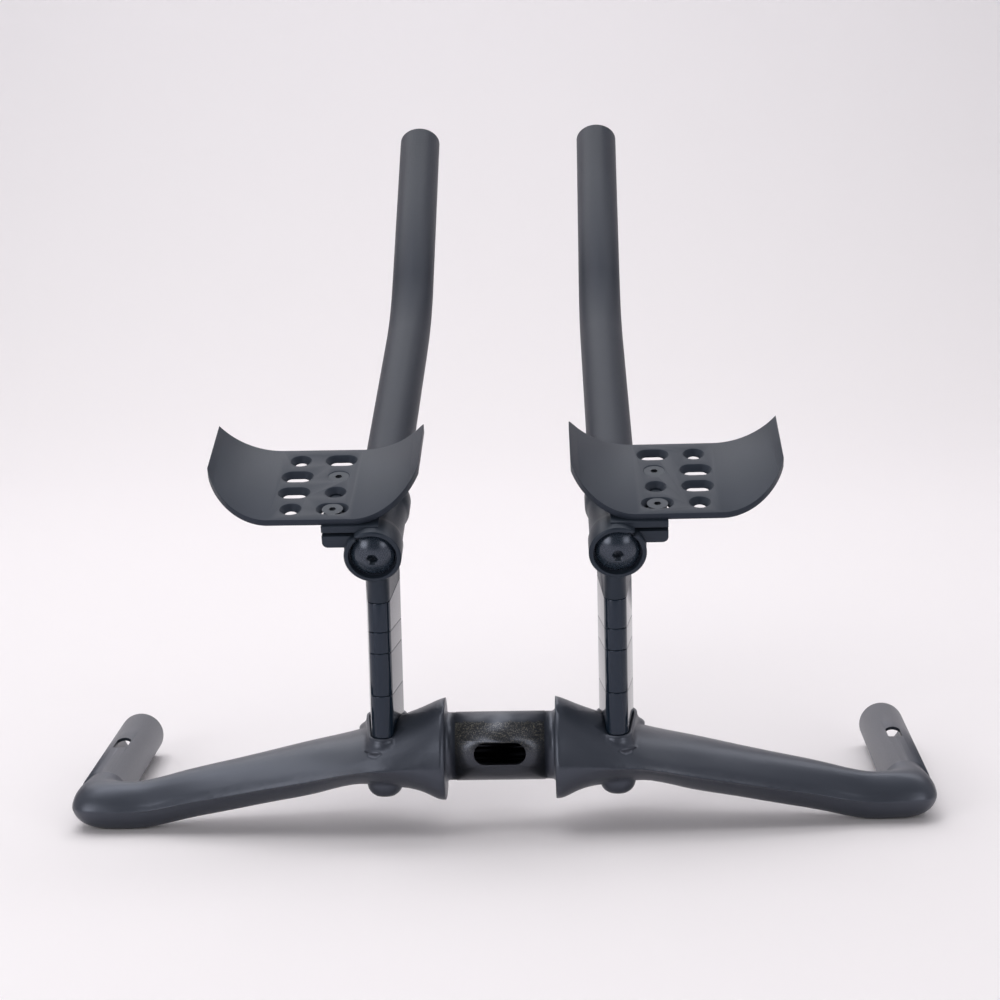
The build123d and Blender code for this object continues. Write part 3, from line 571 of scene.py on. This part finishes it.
@dataclass
class BaseBar:
    """The carbon base bar with the abrasive grip coat on its stem seat. Sizes in millimetres and degrees.

    The grains are drawn coarser than the real grit, which is too fine to show in the render.
    """

    body: str = "bar"
    smooth_angle: float = 38.0
    seat_radius: float = 15.9
    seat_length: float = 41.0
    slot_length: float = 24.0
    slot_height: float = 10.5
    slot_margin: float = 0.8
    coat_top: float = 47.0
    coat_bottom: float = -28.0
    coat_step: float = 1.0
    grains_per_mm2: float = 1.1
    grain_size: float = 0.32
    grain_least: float = 0.35
    grain_subdivisions: int = 1
    grain_seed: int = 7

    def build(self) -> None:
        """Dress the bar and lay the grip coat on its seat."""
        SolidPiece("base_bar", self.body, Slot.BAR, MATT_CARBON, smooth_angle=self.smooth_angle).build()
        grains = self._scatter(self._coat_area())
        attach(grains, self.body)
        LOG.info("laid the grip coat with %d faces", len(grains.data.polygons))

    def _in_slot(self, x: float, angle: float) -> bool:
        """Tell whether a place on the seat lies in or beside the cable slot.

        Args:
            x: place along the waist.
            angle: angle round the waist from the rear, in radians.

        Returns:
            True if the slot or its edge is there.
        """
        if abs(angle) > math.pi / 2:
            return False
        reach = max(0.0, abs(x) - (self.slot_length - self.slot_height) / 2)
        height = self.seat_radius * math.sin(angle)
        return math.hypot(reach, height) < self.slot_height / 2 + self.slot_margin

    def _coat_area(self) -> bpy.types.Object:
        """Build the band of the seat that the grains are scattered on, open at the cable slot.

        Returns:
            An object that holds the area.
        """
        columns = round(self.seat_length / self.coat_step)
        rows = round(2 * math.pi * self.seat_radius / self.coat_step)
        work = bmesh.new()
        grid = []
        for row in range(rows):
            angle = 2 * math.pi * row / rows - math.pi
            ring = []
            for column in range(columns + 1):
                x = self.seat_length * (column / columns - 0.5)
                y = -self.seat_radius * math.cos(angle)
                z = self.seat_radius * math.sin(angle)
                ring.append(work.verts.new((x * MM, y * MM, z * MM)))
            grid.append(ring)
        for row in range(rows):
            angle = 2 * math.pi * (row + 0.5) / rows - math.pi
            for column in range(columns):
                x = self.seat_length * ((column + 0.5) / columns - 0.5)
                if not self.coat_bottom < math.degrees(angle) < self.coat_top or self._in_slot(x, angle):
                    continue
                following = grid[(row + 1) % rows]
                work.faces.new(
                    (grid[row][column], grid[row][column + 1], following[column + 1], following[column])
                )
        work.normal_update()
        mesh = bpy.data.meshes.new("grip_coat_area")
        work.to_mesh(mesh)
        work.free()
        area = bpy.data.objects.new("grip_coat", mesh)
        bpy.context.scene.collection.objects.link(area)
        return area

    def _scatter(self, area: bpy.types.Object) -> bpy.types.Object:
        """Scatter abrasive grains over the area with geometry nodes.

        Args:
            area: object whose faces receive the grains.

        Returns:
            The same object, holding only the grains.
        """
        tree = bpy.data.node_groups.new("scatter_grains", "GeometryNodeTree")
        face = tree.interface
        face.new_socket("Geometry", in_out="INPUT", socket_type="NodeSocketGeometry")
        density = face.new_socket("Grains per square metre", in_out="INPUT", socket_type="NodeSocketFloat")
        size = face.new_socket("Grain radius", in_out="INPUT", socket_type="NodeSocketFloat")
        seed = face.new_socket("Seed", in_out="INPUT", socket_type="NodeSocketInt")
        face.new_socket("Geometry", in_out="OUTPUT", socket_type="NodeSocketGeometry")
        given = add_node(tree, "NodeGroupInput")
        points = add_node(
            tree,
            "GeometryNodeDistributePointsOnFaces",
            inputs={"Mesh": given.outputs[0], "Density": given.outputs[1], "Seed": given.outputs[3]},
        )
        grain = add_node(
            tree,
            "GeometryNodeMeshIcoSphere",
            inputs={"Radius": given.outputs[2], "Subdivisions": self.grain_subdivisions},
        )
        turn = add_node(
            tree,
            "FunctionNodeRandomValue",
            {"data_type": "FLOAT_VECTOR"},
            {0: (0.0, 0.0, 0.0), 1: (math.tau, math.tau, math.tau), "Seed": given.outputs[3]},
        )
        spread = add_node(
            tree,
            "FunctionNodeRandomValue",
            {"data_type": "FLOAT"},
            {2: self.grain_least, 3: 1.0, "Seed": given.outputs[3]},
        )
        placed = add_node(
            tree,
            "GeometryNodeInstanceOnPoints",
            inputs={
                "Points": points.outputs["Points"],
                "Instance": grain.outputs["Mesh"],
                "Rotation": turn.outputs[0],
                "Scale": spread.outputs[1],
            },
        )
        real = add_node(tree, "GeometryNodeRealizeInstances", inputs={"Geometry": placed.outputs["Instances"]})
        dressed = add_node(
            tree,
            "GeometryNodeSetMaterial",
            inputs={"Geometry": real.outputs["Geometry"], "Material": GRIP_GRAINS.material()},
        )
        add_node(tree, "NodeGroupOutput", inputs={0: dressed.outputs["Geometry"]})
        modifier = area.modifiers.new("grains", "NODES")
        modifier.node_group = tree
        modifier[density.identifier] = self.grains_per_mm2 / MM**2
        modifier[size.identifier] = self.grain_size / 2 * MM
        modifier[seed.identifier] = self.grain_seed
        shown = area.evaluated_get(bpy.context.evaluated_depsgraph_get())
        area.data = bpy.data.meshes.new_from_object(shown)
        area.modifiers.clear()
        return area


@dataclass
class Riser:
    """One riser stack: spacers, wedge, bonded sleeves, washers and bolts."""

    side: Side
    body: str = "bar"
    blocks: tuple[str, ...] = ("riser_spacer_low", "riser_spacer_mid", "riser_spacer_thin", "riser_wedge")

    def build(self) -> None:
        """Dress every piece of the stack."""
        word = self.side.value
        for name in self.blocks:
            SolidPiece(f"{word}_{name}", self.body, Slot.RISER, POLISHED_NYLON).build()
        for place in Place:
            SolidPiece(f"{word}_riser_sleeve_{place.value}", self.body, Slot.ALLOY, BARE_ALUMINIUM).build()
            SolidPiece(f"{word}_riser_washer_{place.value}", self.body, Slot.STEEL, BLACK_OXIDE).build()
            SolidPiece(f"{word}_riser_bolt_{place.value}", self.body, Slot.STEEL, BLACK_OXIDE).build()


@dataclass
class ArmrestAndClamp:
    """One extension clamp with the armrest plate screwed to its platform. Rounded edges in millimetres."""

    side: Side
    body: str = "bar"
    clamp_edge: float = 0.5
    plate_edge: float = 0.5

    def build(self) -> None:
        """Dress the clamp, the plate and its screws."""
        word = self.side.value
        SolidPiece(f"{word}_extension_clamp", self.body, Slot.CLAMP, BLACK_ANODISED, self.clamp_edge).build()
        SolidPiece(f"{word}_armrest_plate", self.body, Slot.PLATE, ANODISED_SHEET, self.plate_edge).build()
        for place in Place:
            SolidPiece(f"{word}_armrest_screw_{place.value}", self.body, Slot.STEEL, BLACK_OXIDE).build()


@dataclass
class Extension:
    """One sliding extension: the bent tube, its domed end screw and the expander inside."""

    side: Side
    inner_pieces: tuple[str, ...] = ("expander_sleeve", "expander_cone")

    def build(self) -> None:
        """Dress the tube and what is in its rear end."""
        word = self.side.value
        body = f"{word}_extension"
        SolidPiece(f"{word}_extension_tube", body, Slot.TUBE, TUBE_CARBON).build()
        SolidPiece(f"{word}_end_dome", body, Slot.DOME, POLISHED_DOME).build()
        for name in self.inner_pieces:
            SolidPiece(f"{word}_{name}", body, Slot.ALLOY, BARE_ALUMINIUM).build()


@dataclass(frozen=True)
class SoftBox:
    """One square soft box that faces the bar: its place and side in metres, its power in watts."""

    name: str
    place: tuple[float, float, float]
    size: float
    power: float

    def build(self) -> None:
        """Hang the lamp."""
        lamp = bpy.data.lights.new(self.name, "AREA")
        lamp.size = self.size
        lamp.energy = self.power
        holder = bpy.data.objects.new(self.name, lamp)
        holder.location = self.place
        holder.rotation_euler = (-Vector(self.place)).to_track_quat("-Z", "Y").to_euler()
        bpy.context.scene.collection.objects.link(holder)


@dataclass
class Studio:
    """Pale floor and backdrop, soft boxes and the camera. Sizes in metres and degrees.

    The room's light goes from dim to bright by how far a direction points ahead: the Y of its unit vector.
    """

    floor_colour: str = "f2eef0"
    backdrop_colour: str = "f9f6fa"
    fade_height: float = 0.7
    paper_roughness: float = 0.9
    paper_specular: float = 0.1
    floor_half: float = 3.0
    backdrop_y: float = 0.95
    backdrop_bend: float = 0.6
    backdrop_height: float = 2.6
    bend_steps: int = 16
    focal_px: float = 2600.0
    frame_px: float = 1000.0
    sensor_mm: float = 36.0
    view_depth: float = 20.0
    camera_place: Vector = field(default_factory=lambda: Vector((0.0435, -1.1682, 0.3202)))
    camera_yaw: float = -2.02
    camera_pitch: float = 9.93
    camera_roll: float = -1.36
    room_colour: str = "f3f1f5"
    dim_until: float = -0.75
    bright_from: float = 0.1
    dim_strength: float = 0.12
    bright_strength: float = 0.57
    lamps: tuple[SoftBox, ...] = (
        SoftBox("softbox_above", (-0.4, -0.1, 1.6), 1.0, 7.4),
        SoftBox("softbox_behind", (-0.3, 0.9, 1.3), 1.5, 10.7),
        SoftBox("softbox_behind_right", (0.75, 0.7, 1.3), 0.8, 3.2),
        SoftBox("softbox_front_left", (-1.0, -1.1, 0.5), 0.7, 6.5),
        SoftBox("softbox_front_right", (1.0, -1.1, 0.5), 0.6, 3.7),
    )

    def build(self) -> None:
        """Build the floor, the light and the camera."""
        self._sweep()
        self._world()
        for lamp in self.lamps:
            lamp.build()
        self._camera()

    def _sweep(self) -> None:
        """Build a floor that bends up into a backdrop behind the bar."""
        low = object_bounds()[0][2]
        profile = [(-self.floor_half, low), (self.backdrop_y, low)]
        for step in range(1, self.bend_steps + 1):
            angle = math.pi / 2 * step / self.bend_steps
            y = self.backdrop_y + self.backdrop_bend * math.sin(angle)
            profile.append((y, low + self.backdrop_bend * (1 - math.cos(angle))))
        profile.append((self.backdrop_y + self.backdrop_bend, low + self.backdrop_height))
        verts = [(x, y, z) for y, z in profile for x in (-self.floor_half, self.floor_half)]
        faces = [(2 * i, 2 * i + 1, 2 * i + 3, 2 * i + 2) for i in range(len(profile) - 1)]
        mesh = bpy.data.meshes.new("paper_sweep")
        mesh.from_pydata(verts, [], faces)
        mesh.shade_smooth()
        sweep = bpy.data.objects.new("paper_sweep", mesh)
        bpy.context.scene.collection.objects.link(sweep)
        sweep.data.materials.append(self._paper())
        sweep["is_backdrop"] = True

    def _paper(self) -> bpy.types.Material:
        """Make matt seamless paper, a little lighter up the backdrop than on the floor.

        Returns:
            The material.
        """
        made = bpy.data.materials.new("seamless_paper")
        made.use_nodes = True
        tree = made.node_tree
        tree.nodes.clear()
        place = add_node(tree, "ShaderNodeTexCoord").outputs["Object"]
        height = add_node(tree, "ShaderNodeSeparateXYZ", inputs={0: place}).outputs["Z"]
        share = add_node(
            tree, "ShaderNodeMapRange", inputs={"Value": height, "From Min": 0.0, "From Max": self.fade_height}
        )
        colour = add_node(
            tree,
            "ShaderNodeMix",
            {"data_type": "RGBA"},
            {
                0: share.outputs["Result"],
                6: linear_colour(self.floor_colour),
                7: linear_colour(self.backdrop_colour),
            },
        )
        shader = add_node(
            tree,
            "ShaderNodeBsdfPrincipled",
            inputs={
                "Base Color": colour.outputs[2],
                "Roughness": self.paper_roughness,
                "Specular IOR Level": self.paper_specular,
            },
        )
        add_node(tree, "ShaderNodeOutputMaterial", inputs={"Surface": shader.outputs["BSDF"]})
        return made

    def _world(self) -> None:
        """Light the room with a pale surround that is dim behind the camera."""
        world = bpy.data.worlds.new("pale_room")
        world.use_nodes = True
        tree = world.node_tree
        tree.nodes.clear()
        place = add_node(tree, "ShaderNodeTexCoord").outputs["Generated"]
        ahead = add_node(tree, "ShaderNodeSeparateXYZ", inputs={0: place}).outputs["Y"]
        strength = add_node(
            tree,
            "ShaderNodeMapRange",
            {"interpolation_type": "SMOOTHSTEP"},
            {
                "Value": ahead,
                "From Min": self.dim_until,
                "From Max": self.bright_from,
                "To Min": self.dim_strength,
                "To Max": self.bright_strength,
            },
        )
        surround = add_node(
            tree,
            "ShaderNodeBackground",
            inputs={"Color": linear_colour(self.room_colour), "Strength": strength.outputs["Result"]},
        )
        add_node(tree, "ShaderNodeOutputWorld", inputs={"Surface": surround.outputs["Background"]})
        bpy.context.scene.world = world

    def _camera(self) -> None:
        """Stand the camera where the photograph was taken from."""
        yaw = math.radians(self.camera_yaw)
        pitch = math.radians(self.camera_pitch)
        roll = math.radians(self.camera_roll)
        ahead = Vector((math.sin(yaw) * math.cos(pitch), math.cos(yaw) * math.cos(pitch), -math.sin(pitch)))
        level = Vector((math.cos(yaw), -math.sin(yaw), 0.0))
        above = level.cross(ahead)
        right = math.cos(roll) * level + math.sin(roll) * above
        up = math.cos(roll) * above - math.sin(roll) * level
        lens = bpy.data.cameras.new("camera")
        lens.sensor_width = self.sensor_mm
        lens.lens = self.focal_px / self.frame_px * self.sensor_mm
        lens.clip_end = self.view_depth
        holder = bpy.data.objects.new("camera", lens)
        turn = Matrix((right, up, -ahead)).transposed().to_4x4()
        holder.matrix_world = Matrix.Translation(self.camera_place) @ turn
        bpy.context.scene.collection.objects.link(holder)
        bpy.context.scene.camera = holder


def main() -> None:
    """Build every sub-assembly in order."""
    logging.basicConfig(level=logging.INFO)
    bpy.context.scene.view_settings.view_transform = "Standard"
    BaseBar().build()
    for side in Side:
        Riser(side).build()
        ArmrestAndClamp(side).build()
        Extension(side).build()
    Studio().build()


if __name__ == "__main__":
    main()
